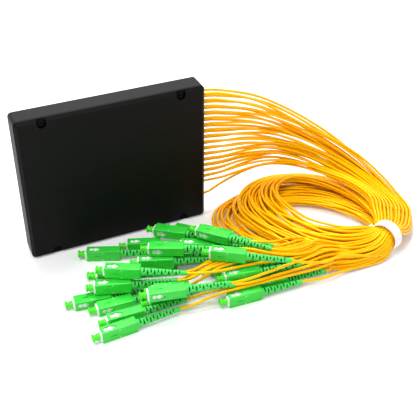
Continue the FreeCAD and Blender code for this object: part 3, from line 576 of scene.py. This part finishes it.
@dataclass(frozen=True)
class Finish:
    """One finish: its colours, gloss and grain, and a second colour that some pieces carry on a
    mask: white index marks on the grips, painted shade in the boots' slots.
    """

    name: str
    colour: Triple
    second: Triple
    roughness: float = 0.4
    grain: Grain = Grain.MOULDED
    scale: float = 900.0
    bump: float = 0.15
    subsurface: float = 0.0
    specular: float = 0.5
    metallic: float = 0.0
    tint: Triple = (1.0, 1.0, 1.0)
    # Second colour on a mask: real index marks on the grips, painted shade in the boots' slots.
    mark_and_painted_shade: Triple | None = None

    def material(self) -> bpy.types.Material:
        """Build the node material.

        Returns:
            The new material.
        """
        made = bpy.data.materials.new(self.name)
        made.use_nodes = True
        tree = made.node_tree
        shader = tree.nodes["Principled BSDF"]
        place = add_node(tree, "TexCoord", {}).outputs["Object"]
        height = self.relief(tree, place)
        gloss = add_node(tree, "MapRange", {
            "Value": height, "To Min": max(SMOOTHEST, self.roughness - GLOSS_SPREAD),
            "To Max": min(1.0, self.roughness + GLOSS_SPREAD)})
        bump = add_node(tree, "Bump", {
            "Height": height, "Strength": self.bump, "Distance": BUMP_HEIGHT})
        fill(tree, shader, {
            "Base Color": self.tone(tree, place), "Roughness": gloss.outputs["Result"],
            "Normal": bump.outputs["Normal"], "Metallic": self.metallic,
            "Specular IOR Level": self.specular, "Specular Tint": (*self.tint, 1)})
        if self.subsurface:
            fill(tree, shader, {
                "Subsurface Weight": self.subsurface, "Subsurface Radius": GLOW_RADIUS,
                "Subsurface Scale": GLOW_SCALE})
        return made

    def tone(self, tree: Tree, place: Socket) -> Socket:
        """Vary the colour in soft patches and mix in the second colour where the mesh's mask asks
        for it: index marks, and painted shade in the boots' slots.

        Args:
            tree: the nodes.
            place: the coordinates.

        Returns:
            The colour.
        """
        patch = add_node(tree, "TexNoise", {
            "Vector": place, "Scale": self.scale / GRAINS_PER_PATCH, "Detail": 3.0})
        mixed = self.mix(tree, patch.outputs["Fac"], (*self.colour, 1), self.second)
        if self.mark_and_painted_shade is None:
            return mixed
        amount = add_node(tree, "Attribute", {})
        amount.attribute_name = "mark_and_painted_shade"
        return self.mix(tree, amount.outputs["Fac"], mixed, self.mark_and_painted_shade)

    def mix(self, tree: Tree, amount: Socket, first: Socket | tuple[float, ...],
            second: Triple) -> Socket:
        """Mix two colours.

        Args:
            tree: the nodes.
            amount: how much of the second colour shows.
            first: the first colour.
            second: the second colour.

        Returns:
            The mixed colour.
        """
        made = add_node(tree, "Mix", {})
        made.data_type = "RGBA"
        fill(tree, made, {MIX_AMOUNT: amount, MIX_FIRST: first, MIX_SECOND: (*second, 1)})
        return made.outputs[MIX_RESULT]

    def relief(self, tree: Tree, place: Socket) -> Socket:
        """Make the height pattern of the grain.

        Args:
            tree: the nodes.
            place: the coordinates.

        Returns:
            The height, from 0 to 1.
        """
        if self.grain is Grain.WOVEN:
            return self.weave(tree, place)
        if self.grain is Grain.FOAM:
            cells = add_node(tree, "TexVoronoi", {"Vector": place, "Scale": self.scale})
            return cells.outputs["Distance"]
        if self.grain is Grain.DRAWN:
            stretch = add_node(tree, "Mapping", {"Vector": place, "Scale": DRAWN_OUT})
            place = stretch.outputs["Vector"]
        noise = add_node(tree, "TexNoise", {"Vector": place, "Scale": self.scale, "Detail": 4.0})
        return noise.outputs["Fac"]

    def weave(self, tree: Tree, place: Socket) -> Socket:
        """Cross two sets of ribs.

        Args:
            tree: the nodes.
            place: the coordinates.

        Returns:
            The height, from 0 to 1.
        """
        ribs = []
        for direction in ("DIAGONAL", "Z"):
            wave = add_node(tree, "TexWave", {
                "Vector": place, "Scale": self.scale, "Distortion": RIB_DISTORTION})
            wave.bands_direction = direction
            ribs.append(wave.outputs["Fac"])
        return combine(tree, "MULTIPLY", *ribs)


COVER = Finish("cover_plastic", (0.0010, 0.0010, 0.0009), (0.0017, 0.0017, 0.0014), 0.5,
               scale=2500, bump=0.12, specular=0.11)
SHELL = Finish("shell_plastic", (0.0035, 0.0035, 0.004), (0.006, 0.006, 0.0068), 0.55,
               scale=1800, bump=0.5, specular=0.2)
BLOCK = Finish("block_plastic", (0.012, 0.012, 0.012), (0.02, 0.02, 0.02), 0.5)
# The screws are nearly black and dull partly because of their black oxide and partly as painted
# shade for the dark recesses around them.
SCREW_WITH_PAINTED_SHADE = Finish("screw_black_oxide_and_painted_shade", (0.0006, 0.0006, 0.0006), (0.001, 0.001, 0.001), 0.45,
               specular=0.06)
YELLOW = Finish("cable_yellow", (1.0, 0.46, 0.0), (1.0, 0.52, 0.001), 0.34, scale=700,
                bump=0.05, subsurface=0.3, specular=1.0, tint=(1.0, 0.86, 0.04))
STRAP = Finish("strap_tape", (0.84, 0.84, 0.83), (0.93, 0.93, 0.92), 0.7, Grain.WOVEN, 900, 0.4,
               specular=0.3)
GRIP = Finish("grip_green", (0.028, 0.60, 0.042), (0.036, 0.66, 0.05), 0.36, bump=0.08,
              subsurface=0.1, specular=0.4, mark_and_painted_shade=(0.6, 0.85, 0.6))
BODY = Finish("body_white", (0.88, 0.92, 0.88), (0.93, 0.96, 0.93), 0.4)
CERAMIC = Finish("ferrule_ceramic", (0.86, 0.86, 0.83), (0.92, 0.92, 0.9), 0.15, bump=0.02)
# The boot's second colour is painted shade: a dark green laid on the floors of its slots, where
# shade falls.
BOOT = Finish("boot_green", (0.045, 0.60, 0.08), (0.06, 0.67, 0.10), 0.5, bump=0.1,
              subsurface=0.1, specular=0.35, mark_and_painted_shade=(0.001, 0.05, 0.012))
CAP = Finish("cap_green", (0.055, 0.70, 0.012), (0.07, 0.76, 0.016), 0.36, bump=0.06,
             subsurface=0.2, specular=0.4)
CHIP = Finish("chip_aluminium", (0.62, 0.62, 0.63), (0.7, 0.7, 0.71), 0.32, Grain.DRAWN, 1400, 0.2,
              metallic=1.0)
RUBBER = Finish("chip_boot_rubber", (0.012, 0.012, 0.012), (0.02, 0.02, 0.02), 0.65, bump=0.3)
CLIP = Finish("clip_nylon", (0.7, 0.7, 0.66), (0.78, 0.78, 0.74), 0.5, subsurface=0.1)
FOAM = Finish("pad_foam", (0.05, 0.05, 0.055), (0.09, 0.09, 0.095), 0.9, Grain.FOAM, 1600, 0.8)
FIBRE = Finish("fibre_buffer", (0.85, 0.85, 0.8), (0.92, 0.92, 0.88), 0.35, subsurface=0.2)
RIBBON = Finish("fibre_ribbon", (0.75, 0.8, 0.85), (0.9, 0.9, 0.75), 0.35, Grain.DRAWN, 2500, 0.3)


@dataclass
class SplitterBox:
    """The box and what it holds, and the strap: the solids that keep their own shape."""

    finishes: dict[str, Finish] = field(default_factory=lambda: {
        "base_shell": SHELL, "cover": COVER, "cover_screws": SCREW_WITH_PAINTED_SHADE, "cable_block": BLOCK,
        "splitter_chip": CHIP, "chip_boot_input": RUBBER, "chip_boot_output": RUBBER,
        "chip_clips": CLIP, "foam_pad": FOAM, "fibre_loop": FIBRE, "ribbon_fan": RIBBON,
        "coil_tie": STRAP, "input_ferrule": CERAMIC, "output_ferrules": CERAMIC,
    })

    def dress(self, frame: dict) -> None:
        """Give each solid its finish.

        Args:
            frame: the loaded frame.
        """
        made: dict[str, bpy.types.Material] = {}
        for node, finish in self.finishes.items():
            if finish.name not in made:
                made[finish.name] = finish.material()
            piece = frame["nodes"][node]
            piece.data.materials.clear()
            piece.data.materials.append(made[finish.name])
            LOG.info("%s dressed in %s", node, finish.name)


# ---------------------------------------------------------------- cords
@dataclass
class Cables:
    """All 33 cables, each one spline of its own."""

    thickness: float = CABLE_DIAMETER
    steps: int = 7
    roundness: int = 3
    shortest: float = 0.76
    per_lane: float = 0.041
    made: dict[str, bpy.types.Object] = field(default_factory=dict)

    def build(self) -> None:
        """Add every cable as a round curve."""
        material = YELLOW.material()
        for index, name in enumerate(CONNECTOR_PLACES):
            data = bpy.data.curves.new("strand_" + name, "CURVE")
            data.dimensions = "3D"
            data.resolution_u = self.steps
            data.bevel_depth = self.thickness / 2 * MM
            data.bevel_resolution = self.roundness
            points = CableRoute(index, name).points()
            spline = data.splines.new("NURBS")
            spline.points.add(len(points) - 1)
            for spot, point in zip(spline.points, points):
                spot.co = (*point, 1.0)
            spline.order_u = 3
            spline.use_endpoint_u = True
            data.materials.append(material)
            cable = add_object("strand_" + name, data)
            self.made[name] = cable
            LOG.info("%s laid through %d points", cable.name, len(points))

    def declare(self) -> None:
        """Tie each cable to the splitter's body and hide the imported cables that it replaces.
        """
        holes = outlet_holes()
        for index, (name, cable) in enumerate(self.made.items()):
            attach(cable, "splitter")
            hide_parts("cable_" + name)
        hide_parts("cable_coil")


# ---------------------------------------------------------------- plugs
@dataclass
class Shape:
    """A mesh in the making, in millimetres."""

    name: str
    data: bmesh.types.BMesh = field(default_factory=bmesh.new)

    def box(self, low: Triple, high: Triple, bevel: float = 0.0, segments: int = 2) -> None:
        """Add a box with bevelled edges.

        Args:
            low: the lowest corner.
            high: the highest corner.
            bevel: width of the bevel, or 0 for sharp edges.
            segments: faces across the bevel.
        """
        made = bmesh.ops.create_cube(self.data, size=1.0)["verts"]
        for v in made:
            v.co = Vector([low[i] + (v.co[i] + 0.5) * (high[i] - low[i]) for i in range(3)])
        if bevel:
            edges = list({e for v in made for e in v.link_edges})
            bmesh.ops.bevel(self.data, geom=edges, offset=bevel, offset_type="OFFSET",
                            affect="EDGES", segments=segments, profile=0.5, material=-1)

    def plate(self, outline: list[Pair], low: float, high: float) -> None:
        """Add a plate that is cut to an outline in X and Z and reaches through Y.

        Args:
            outline: the corners, as (x, z).
            low: where the plate starts in Y.
            high: where it ends.
        """
        verts = [self.data.verts.new((x, low, z)) for x, z in outline]
        face = self.data.faces.new(verts)
        pushed = bmesh.ops.extrude_face_region(self.data, geom=[face])["geom"]
        moved = [g for g in pushed if isinstance(g, bmesh.types.BMVert)]
        bmesh.ops.translate(self.data, verts=moved, vec=(0, high - low, 0))

    def turned(self, profile: list[Pair], steps: int = 32) -> None:
        """Add a solid of revolution about X.

        Args:
            profile: (x, radius) from end to end.
            steps: faces around the axis.
        """
        verts = [self.data.verts.new((x, 0, r)) for x, r in profile]
        edges = [self.data.edges.new(pair) for pair in zip(verts, verts[1:])]
        bmesh.ops.spin(self.data, geom=verts + edges, cent=(0, 0, 0), axis=(1, 0, 0),
                       angle=2 * math.pi, steps=steps, use_merge=True)
        bmesh.ops.remove_doubles(self.data, verts=self.data.verts, dist=0.0005)

    def finish(self) -> Mesh:
        """Close the work.

        Returns:
            The mesh, still in millimetres.
        """
        bmesh.ops.recalc_face_normals(self.data, faces=self.data.faces)
        data = bpy.data.meshes.new(self.name)
        self.data.to_mesh(data)
        self.data.free()
        return data


def carve(block: Mesh, tools: list[Mesh]) -> Mesh:
    """Cut tools out of a block.

    Args:
        block: the mesh to cut.
        tools: meshes to take away.

    Returns:
        The cut mesh.
    """
    holder = add_object("holder", block)
    helpers = [add_object("tool", tool) for tool in tools]
    for helper in helpers:
        step = holder.modifiers.new("cut", "BOOLEAN")
        step.operation = "DIFFERENCE"
        step.solver = "EXACT"
        step.object = helper
    graph = bpy.context.evaluated_depsgraph_get()
    made = bpy.data.meshes.new_from_object(holder.evaluated_get(graph))
    for helper in helpers + [holder]:
        bpy.data.objects.remove(helper)
    return made


def shade(data: Mesh, flat_area: float, sharp: float = 40.0) -> None:
    """Keep large faces flat and round off the small ones between them.

    Args:
        data: the mesh, in millimetres.
        flat_area: faces above this area stay flat, in square millimetres.
        sharp: edges that turn more than this many degrees stay crisp.
    """
    work = bmesh.new()
    work.from_mesh(data)
    for face in work.faces:
        face.smooth = face.calc_area() < flat_area
    for edge in work.edges:
        edge.smooth = len(edge.link_faces) == 2 and edge.calc_face_angle() < math.radians(sharp)
    work.to_mesh(data)
    work.free()


@dataclass
class Connector:
    """One angled connector, along X from the front of its grip."""

    length: float = GRIP_LENGTH
    width: float = GRIP_WIDTH
    height: float = GRIP_HEIGHT
    edge: float = 0.7
    wall: float = 0.9
    clearance: float = 0.15
    past: float = 1.0
    key_slot_span: Pair = (5.6, 9.8)
    key_slot_half: float = 0.4
    key_slot_depth: float = 0.5
    panel_span: Pair = (16.2, 23.6)
    panel_half: float = 3.4
    flank_panel_half: float = 2.6
    panel_depth: float = 0.3
    mark_span: Pair = (11.6, 12.3)
    mark_starts: Pair = (-3.6, 2.8)
    mark_width: float = 0.8
    mark_root: float = 0.1
    mark_rise: float = 0.03
    body_front: float = -1.2
    body_end: float = 19.2
    body_play: float = 0.12
    body_edge: float = 0.3
    bore_gap: float = 0.2
    grooves: tuple[Pair, ...] = ((4.7, 0.5), (8.1, 0.4))
    groove_depth: float = 0.6
    groove_half: float = 1.6
    boot_start: float = 19.7
    boot_end: float = GRIP_LENGTH + BOOT_LENGTH
    boot_radius: float = 3.0
    tip_radius: float = 1.7
    first_slot: float = 27.0
    slot_pitch: float = 2.45
    slot_width: float = 0.95
    slots: int = 11
    slot_sink: float = 1.1
    core_radius: float = 1.15
    slot_lean: float = 0.02
    ring_edge: float = 0.12
    far_edge: Pair = (0.15, 0.03)
    tip_edge: Pair = (0.3, 0.25)
    # Vertices this deep in the slots, and within this margin of them, take the boot's painted
    # shade.
    painted_shade_margin: float = 0.05
    painted_shade_depth: float = 0.4
    web_sink: float = 0.06
    web_root: float = 0.5
    web_reach: float = 0.97
    web_half_share: float = 0.27
    web_overlap: float = 0.1
    round_steps: int = 24
    housing_flat: float = 0.9
    boot_flat: float = 1.6
    cap_flat: float = 3.0
    cap_sharp: float = 50.0

    def grip(self) -> Mesh:
        """Make the sliding housing: bore, windows, key slots, rear panels and marks.

        Returns:
            The mesh.
        """
        half_y = self.width / 2
        half_z = self.height / 2
        block = Shape("grip")
        block.box((0, -half_y, -half_z), (self.length, half_y, half_z), self.edge, 3)
        bore = Shape("bore")
        bore.box((-self.past, self.wall - half_y, self.wall - half_z),
                 (self.body_end + self.bore_gap, half_y - self.wall, half_z - self.wall))
        throat = Shape("throat")
        radius = self.boot_radius + self.clearance
        start = self.body_end - self.past
        end = self.length + self.past
        throat.turned([(start, 0), (start, radius), (end, radius), (end, 0)], self.round_steps)
        tools = [bore.finish(), throat.finish(), self.window()]
        for side in (-1, 1):
            tools += self.face_tools(side)
        data = carve(block.finish(), tools)
        self.mark(data)
        shade(data, self.housing_flat)
        return data

    def window(self) -> Mesh:
        """Make the cutter of both windows, which narrow in steps to a point.

        Returns:
            The cutter.
        """
        upper = [(2.0, 1.7), (4.2, 2.1), (4.4, 1.5), (5.4, 1.5), (5.6, 2.3), (7.4, 2.3),
                 (7.6, 1.75), (8.8, 1.5), (9.0, 0.9), (11.0, 0.4)]
        lower = [(x, -z) for x, z in reversed(upper)]
        cutter = Shape("window")
        cutter.plate(upper + lower, -self.width, self.width)
        return cutter.finish()

    def face_tools(self, side: int) -> list[Mesh]:
        """Make the cutters of one broad face and one narrow face.

        Args:
            side: 1 for the faces towards +Z and +Y, -1 for the opposite ones.

        Returns:
            The cutters of the key slot and of the sunk rear panels.
        """
        top = side * self.height / 2
        flank = side * self.width / 2
        slot = Shape("key_slot")
        start, end = self.key_slot_span
        low, high = self.through(top, side, self.key_slot_depth, self.past)
        slot.box((start, -self.key_slot_half, low), (end, self.key_slot_half, high))
        start, end = self.panel_span
        panel = Shape("panel")
        low, high = self.through(top, side, self.panel_depth, self.past)
        panel.box((start, -self.panel_half, low), (end, self.panel_half, high))
        flank_panel = Shape("flank_panel")
        low, high = self.through(flank, side, self.panel_depth, self.past)
        flank_panel.box((start, low, -self.flank_panel_half), (end, high, self.flank_panel_half))
        return [slot.finish(), panel.finish(), flank_panel.finish()]

    def through(self, face: float, side: int, below: float, above: float) -> Pair:
        """Find the span of something that is let into a face and stands out of it.

        Args:
            face: where the face lies.
            side: 1 where the face looks to the positive side, else -1.
            below: how deep it goes.
            above: how far it stands out.

        Returns:
            The lower and the upper end.
        """
        low, high = sorted((face - side * below, face + side * above))
        return low, high

    def mark(self, data: Mesh) -> None:
        """Add the four small index marks.

        Args:
            data: the housing's mesh.
        """
        marks = Shape("marks")
        marks.data.from_mesh(data)
        amount = marks.data.verts.layers.float.new("mark_and_painted_shade")
        plain = len(marks.data.verts)
        for side in (-1, 1):
            top = side * self.height / 2
            low, high = self.through(top, side, self.mark_root, self.mark_rise)
            for y in self.mark_starts:
                marks.box((self.mark_span[0], y, low),
                          (self.mark_span[1], y + self.mark_width, high))
        marks.data.verts.ensure_lookup_table()
        for v in marks.data.verts[plain:]:
            v[amount] = 1.0
        marks.data.to_mesh(data)
        marks.data.free()

    def body(self) -> Mesh:
        """Make the white plug frame with the grooves that the windows show.

        Returns:
            The mesh.
        """
        half_y = self.width / 2 - self.wall - self.body_play
        half_z = self.height / 2 - self.wall - self.body_play
        block = Shape("body")
        block.box((self.body_front, -half_y, -half_z), (self.body_end, half_y, half_z),
                  self.body_edge)
        tools = []
        for start, wide in self.grooves:
            for side in (-1, 1):
                groove = Shape("groove")
                low, high = sorted((side * (half_y - self.groove_depth), side * self.width))
                groove.box((start, low, -self.groove_half),
                           (start + wide, high, self.groove_half))
                tools.append(groove.finish())
        data = carve(block.finish(), tools)
        shade(data, self.housing_flat)
        return data

    def radius_at(self, x: float) -> float:
        """Find the boot's outer radius.

        Args:
            x: the distance from the grip's front.

        Returns:
            The radius.
        """
        share = max(0.0, x - self.length) / (self.boot_end - self.length)
        return self.boot_radius + (self.tip_radius - self.boot_radius) * share

    def boot(self) -> Mesh:
        """Make the strain relief: rings that webs join, a quarter turn on each time, with painted
        shade on the floors of the slots.

        Returns:
            The mesh.
        """
        rings = Shape("boot")
        profile = [(self.boot_start, 0), (self.boot_start, self.boot_radius)]
        starts = [self.first_slot + k * self.slot_pitch for k in range(self.slots)]
        for x in starts:
            outer = self.radius_at(x)
            floor = max(self.core_radius, outer - self.slot_sink)
            end = x + self.slot_width
            profile += [(x - self.ring_edge, outer), (x, outer - self.ring_edge),
                        (x + self.slot_lean, floor), (end - self.slot_lean, floor),
                        (end, outer - self.far_edge[0]),
                        (end + self.ring_edge, outer - self.far_edge[1])]
        tip = self.radius_at(self.boot_end)
        profile += [(self.boot_end - self.tip_edge[0], tip),
                    (self.boot_end, tip - self.tip_edge[1]), (self.boot_end, 0)]
        rings.turned(profile, self.round_steps)
        # Painted shade: vertices sunk deep in the slots take the boot's dark second colour.
        amount = rings.data.verts.layers.float.new("mark_and_painted_shade")
        first = starts[0] - self.painted_shade_margin
        last = starts[-1] + self.slot_width + self.painted_shade_margin
        for v in rings.data.verts:
            sunk = self.radius_at(v.co.x) - math.hypot(v.co.y, v.co.z)
            v[amount] = 1.0 if first < v.co.x < last and sunk > self.painted_shade_depth else 0.0
        for k, x in enumerate(starts):
            self.web(rings, x, k % 2 == 0)
        data = rings.finish()
        shade(data, self.boot_flat)
        return data

    def web(self, rings: Shape, x: float, upright: bool) -> None:
        """Join two rings by a pair of webs.

        Args:
            rings: the boot in the making.
            x: where the slot between the rings starts.
            upright: whether the webs stand above and below, not left and right.
        """
        outer = self.radius_at(x) - self.web_sink
        half = self.web_half_share * outer
        for side in (-1, 1):
            span = sorted((side * self.web_root, side * outer * self.web_reach))
            y, z = ((-half, half), span) if upright else (span, (-half, half))
            rings.box((x - self.web_overlap, y[0], z[0]),
                      (x + self.slot_width + self.web_overlap, y[1], z[1]))

    def cap(self) -> Mesh:
        """Make the dust cap with its round knob.

        Returns:
            The mesh.
        """
        profile = [(-6.55, 0), (-6.55, 1.7), (-6.35, 2.45), (-5.95, 2.85), (-5.45, 2.85),
                   (-5.1, 2.5), (-4.95, 2.05), (-3.8, 2.0), (-3.5, 2.35), (-1.7, 2.5),
                   (-1.25, 2.5), (-1.25, 0)]
        knob = Shape("cap")
        knob.turned(profile)
        data = knob.finish()
        shade(data, self.cap_flat, self.cap_sharp)
        return data


@dataclass
class Connectors:
    """All 33 connectors."""

    pattern: Connector = field(default_factory=Connector)
    pieces: dict[str, list[bpy.types.Object]] = field(default_factory=dict)

    def build(self) -> None:
        """Place every connector, tie its pieces to their bodies and hide the imported solids that
        they replace.
        """
        kinds = [("grip", "output_grips", "grip_green", GRIP.material(), self.pattern.grip()),
                 ("body", "output_bodies", "body_white", BODY.material(), self.pattern.body()),
                 ("boot", "output_boots", "boot_green", BOOT.material(), self.pattern.boot()),
                 ("dust_cap", "output_dust_caps", "cap_green", CAP.material(), self.pattern.cap())]
        for name, place in CONNECTOR_PLACES.items():
            matrix = connector_matrix(place) @ Matrix.Scale(MM, 4)
            self.pieces[name] = []
            for kind, node, slot_name, material, pattern in kinds:
                data = pattern.copy()
                data.transform(matrix)
                data.materials.clear()
                data.materials.append(material)
                piece = add_object(kind + "_" + name, data)
                self.join(piece, name, kind, node)
                self.pieces[name].append(piece)
            LOG.info("connector of %s placed", name)

    def join(self, piece: bpy.types.Object, name: str, kind: str, node: str) -> None:
        """Tie one piece to its body and hide the solid that it stands for.

        Args:
            piece: the piece.
            name: its cable's name.
            kind: what the piece is.
            node: the outputs' solid.
        """
        moving = {"grip": "input_grip_body", "dust_cap": "input_cap_body"}
        if name == "input":
            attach(piece, moving.get(kind, "splitter"))
            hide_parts("input_" + kind)
        else:
            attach(piece, "splitter")
            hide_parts(node)


# ---------------------------------------------------------------- camera and studio
@dataclass
class ViewCamera:
    """The camera, turned to the object's front and left from above."""

    azimuth: float = -24.69
    elevation: float = 35.76
    roll: float = 0.51
    lens: float = 68.63
    sensor: float = 36.0
    nearest: float = 0.01
    place: Triple = (-0.1439, -0.4838, 0.3801)

    def build(self) -> None:
        """Add the camera and make it the scene's own."""
        az = math.radians(self.azimuth)
        el = math.radians(self.elevation)
        back = Vector((math.sin(az) * math.cos(el), -math.cos(az) * math.cos(el), math.sin(el)))
        right = Vector((math.cos(az), math.sin(az), 0))
        turn = Matrix((right, back.cross(right), back)).transposed().to_4x4()
        turn @= Matrix.Rotation(math.radians(self.roll), 4, "Z")
        data = bpy.data.cameras.new("view_camera")
        data.lens = self.lens
        data.sensor_width = self.sensor
        data.clip_start = self.nearest
        camera = add_object("view_camera", data)
        camera.matrix_world = Matrix.Translation(self.place) @ turn
        bpy.context.scene.camera = camera
        LOG.info("camera placed")


@dataclass(frozen=True)
class Lamp:
    """One soft, square light that faces the object."""

    name: str
    place: Triple
    size: float
    power: float
    target: Triple = (0.05, -0.05, 0.0)

    def build(self) -> None:
        """Add the light."""
        data = bpy.data.lights.new(self.name, "AREA")
        data.energy = self.power
        data.size = self.size
        lamp = add_object(self.name, data)
        lamp.location = self.place
        away = Vector(self.place) - Vector(self.target)
        lamp.rotation_euler = away.to_track_quat("Z", "Y").to_euler()


@dataclass
class Studio:
    """A pale floor, pale surroundings and soft lights.

    The camera sees the floor lifted by floor_lift within near of the object, and by
    far_lift from far on.
    """

    floor_half: float = 6.0
    floor_roughness: float = 0.8
    floor_tone: float = 0.86
    floor_lift: float = 0.14
    far_lift: float = 0.75
    near: float = 0.4
    far: float = 1.6
    surround_light: float = 0.55
    lamps: tuple[Lamp, ...] = (
        Lamp("key", (-0.45, -0.25, 1.15), 0.45, 7.6),
        Lamp("top", (0.15, 0.4, 1.05), 0.55, 12.0),
        Lamp("fill", (0.75, -0.7, 0.6), 0.9, 1.6),
    )

    def build(self) -> None:
        """Add floor, surroundings and lights."""
        self.floor()
        self.surroundings()
        for lamp in self.lamps:
            lamp.build()
        LOG.info("studio lit by %d lamps", len(self.lamps))

    def seen(self, tree: Tree) -> Socket:
        """Find whether a ray shows the backdrop, straight or in a gloss.

        Args:
            tree: the nodes to add to.

        Returns:
            1 for camera, glossy and transmission rays, else 0.
        """
        path = add_node(tree, "LightPath", {})
        found = path.outputs["Is Camera Ray"]
        for name in ("Is Glossy Ray", "Is Transmission Ray"):
            found = combine(tree, "MAXIMUM", found, path.outputs[name])
        return found

    def far_off(self, tree: Tree) -> Socket:
        """Find how much the floor is lifted to white at each distance from the object.

        Args:
            tree: the floor's nodes.

        Returns:
            The lift, which grows where the lamps no longer reach.
        """
        place = add_node(tree, "TexCoord", {}).outputs["Object"]
        distance = add_node(tree, "VectorMath", {0: place})
        distance.operation = "LENGTH"
        spread = add_node(tree, "MapRange", {
            "Value": distance.outputs["Value"], "From Min": self.near, "From Max": self.far,
            "To Min": self.floor_lift, "To Max": self.far_lift})
        return spread.outputs["Result"]

    def floor(self) -> None:
        """Add the floor that the object stands on."""
        sheet = bmesh.new()
        bmesh.ops.create_grid(sheet, x_segments=1, y_segments=1, size=self.floor_half)
        data = bpy.data.meshes.new("floor")
        sheet.to_mesh(data)
        sheet.free()
        material = bpy.data.materials.new("floor")
        material.use_nodes = True
        tree = material.node_tree
        shown = combine(tree, "MULTIPLY", self.seen(tree), self.far_off(tree))
        fill(tree, tree.nodes["Principled BSDF"], {
            "Base Color": (*[self.floor_tone] * 3, 1), "Roughness": self.floor_roughness,
            "Emission Color": (1, 1, 1, 1), "Emission Strength": shown})
        data.materials.append(material)
        add_object("floor", data)

    def surroundings(self) -> None:
        """Add the pale surroundings."""
        world = bpy.data.worlds.new("surroundings")
        bpy.context.scene.world = world
        world.use_nodes = True
        tree = world.node_tree
        strength = add_node(tree, "MapRange", {
            "Value": self.seen(tree), "To Min": self.surround_light})
        fill(tree, tree.nodes["Background"], {
            "Color": (1.0, 1.0, 1.0, 1), "Strength": strength.outputs["Result"]})


def main() -> None:
    """Build the scene in order: camera, cables, connectors, box, studio."""
    logging.basicConfig(level=logging.INFO)
    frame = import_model()
    ViewCamera().build()
    cables = Cables()
    cables.build()
    connectors = Connectors()
    connectors.build()
    cables.declare()
    SplitterBox().dress(frame)
    Studio().build()
    bpy.context.scene.view_settings.view_transform = "Standard"


if __name__ == "__main__":
    main()
